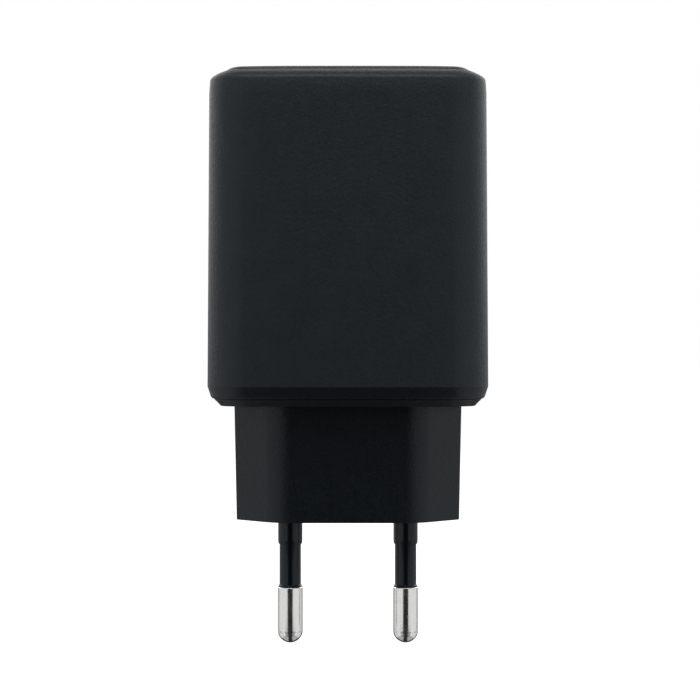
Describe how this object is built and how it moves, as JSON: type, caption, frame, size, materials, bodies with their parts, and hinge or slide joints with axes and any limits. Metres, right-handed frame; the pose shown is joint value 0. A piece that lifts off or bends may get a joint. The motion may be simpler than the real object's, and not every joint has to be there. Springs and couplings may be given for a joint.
{
  "type": "usb wall charger",
  "caption": "Slim black wall charger with rounded upright edges, a stepped six-sided plug boss with sleeved round pins, and sockets for charging leads in its end panel.",
  "frame": {"origin": "centre of the plug's engagement face, midway between the two pins", "axes": "+Z away from the wall socket towards the sockets for leads, pins along -Z, +X to the right and +Y to the back as seen from the front broad face"},
  "size_m": [0.0434, 0.028, 0.0899],
  "materials": {
    "housing": "matt black, fine moulded grain",
    "pin_sleeve": "glossy black",
    "nickel": "polished nickel plate on brass",
    "tin": "tin-plated sheet",
    "gold": "gold flash on copper alloy",
    "bronze": "bare phosphor bronze",
    "black_nylon": "black, satin",
    "white_nylon": "off-white, satin",
    "board": "green solder mask on glass-epoxy",
    "chip": "black moulded epoxy",
    "ferrite": "dark grey, matt",
    "copper": "enamelled copper wire",
    "tape": "yellow polyester tape",
    "can_sleeve": "dark shrink sleeve on an aluminium can",
    "film_case": "yellow moulded case",
    "blue_coat": "blue epoxy dip coat",
    "fuse_tube": "ceramic tube",
    "aluminium": "plain rolled sheet",
    "thermal_pad": "grey silicone pad",
    "film": "thin insulating film"
  },
  "bodies": {
    "root": {"shell": "housing", "port_panel": "housing", "plug_base": "housing", "pin_retainer": "black_nylon", "pin_left": "nickel", "pin_right": "nickel", "pin_sleeve_left": "pin_sleeve", "pin_sleeve_right": "pin_sleeve", "contact_spring_left": "bronze", "contact_spring_right": "bronze", "usb_a_shell": "tin", "usb_a_tongue": "black_nylon", "usb_a_contact_1": "gold", "usb_a_contact_2": "gold", "usb_a_contact_3": "gold", "usb_a_contact_4": "gold", "usb_c_shell": "tin", "usb_c_tongue": "black_nylon", "usb_c_contacts": "gold", "main_board": "board", "port_board": "board", "board_header": "black_nylon", "fuse": "fuse_tube", "varistor": "blue_coat", "x_capacitor": "film_case", "filter_choke_core": "ferrite", "filter_choke_winding": "copper", "bridge_rectifier": "chip", "bulk_capacitor_1": "can_sleeve", "bulk_capacitor_2": "can_sleeve", "power_switch": "chip", "transformer_core_lower": "ferrite", "transformer_core_upper": "ferrite", "transformer_bobbin": "black_nylon", "transformer_winding": "copper", "transformer_tape": "tape", "y_capacitor": "blue_coat", "optocoupler": "white_nylon", "sync_rectifier": "chip", "output_capacitor_1": "aluminium", "output_capacitor_2": "aluminium", "charge_controller": "chip", "heat_spreader": "aluminium", "thermal_pad": "thermal_pad", "insulation_sheet": "film"}
  },
  "joints": []
}
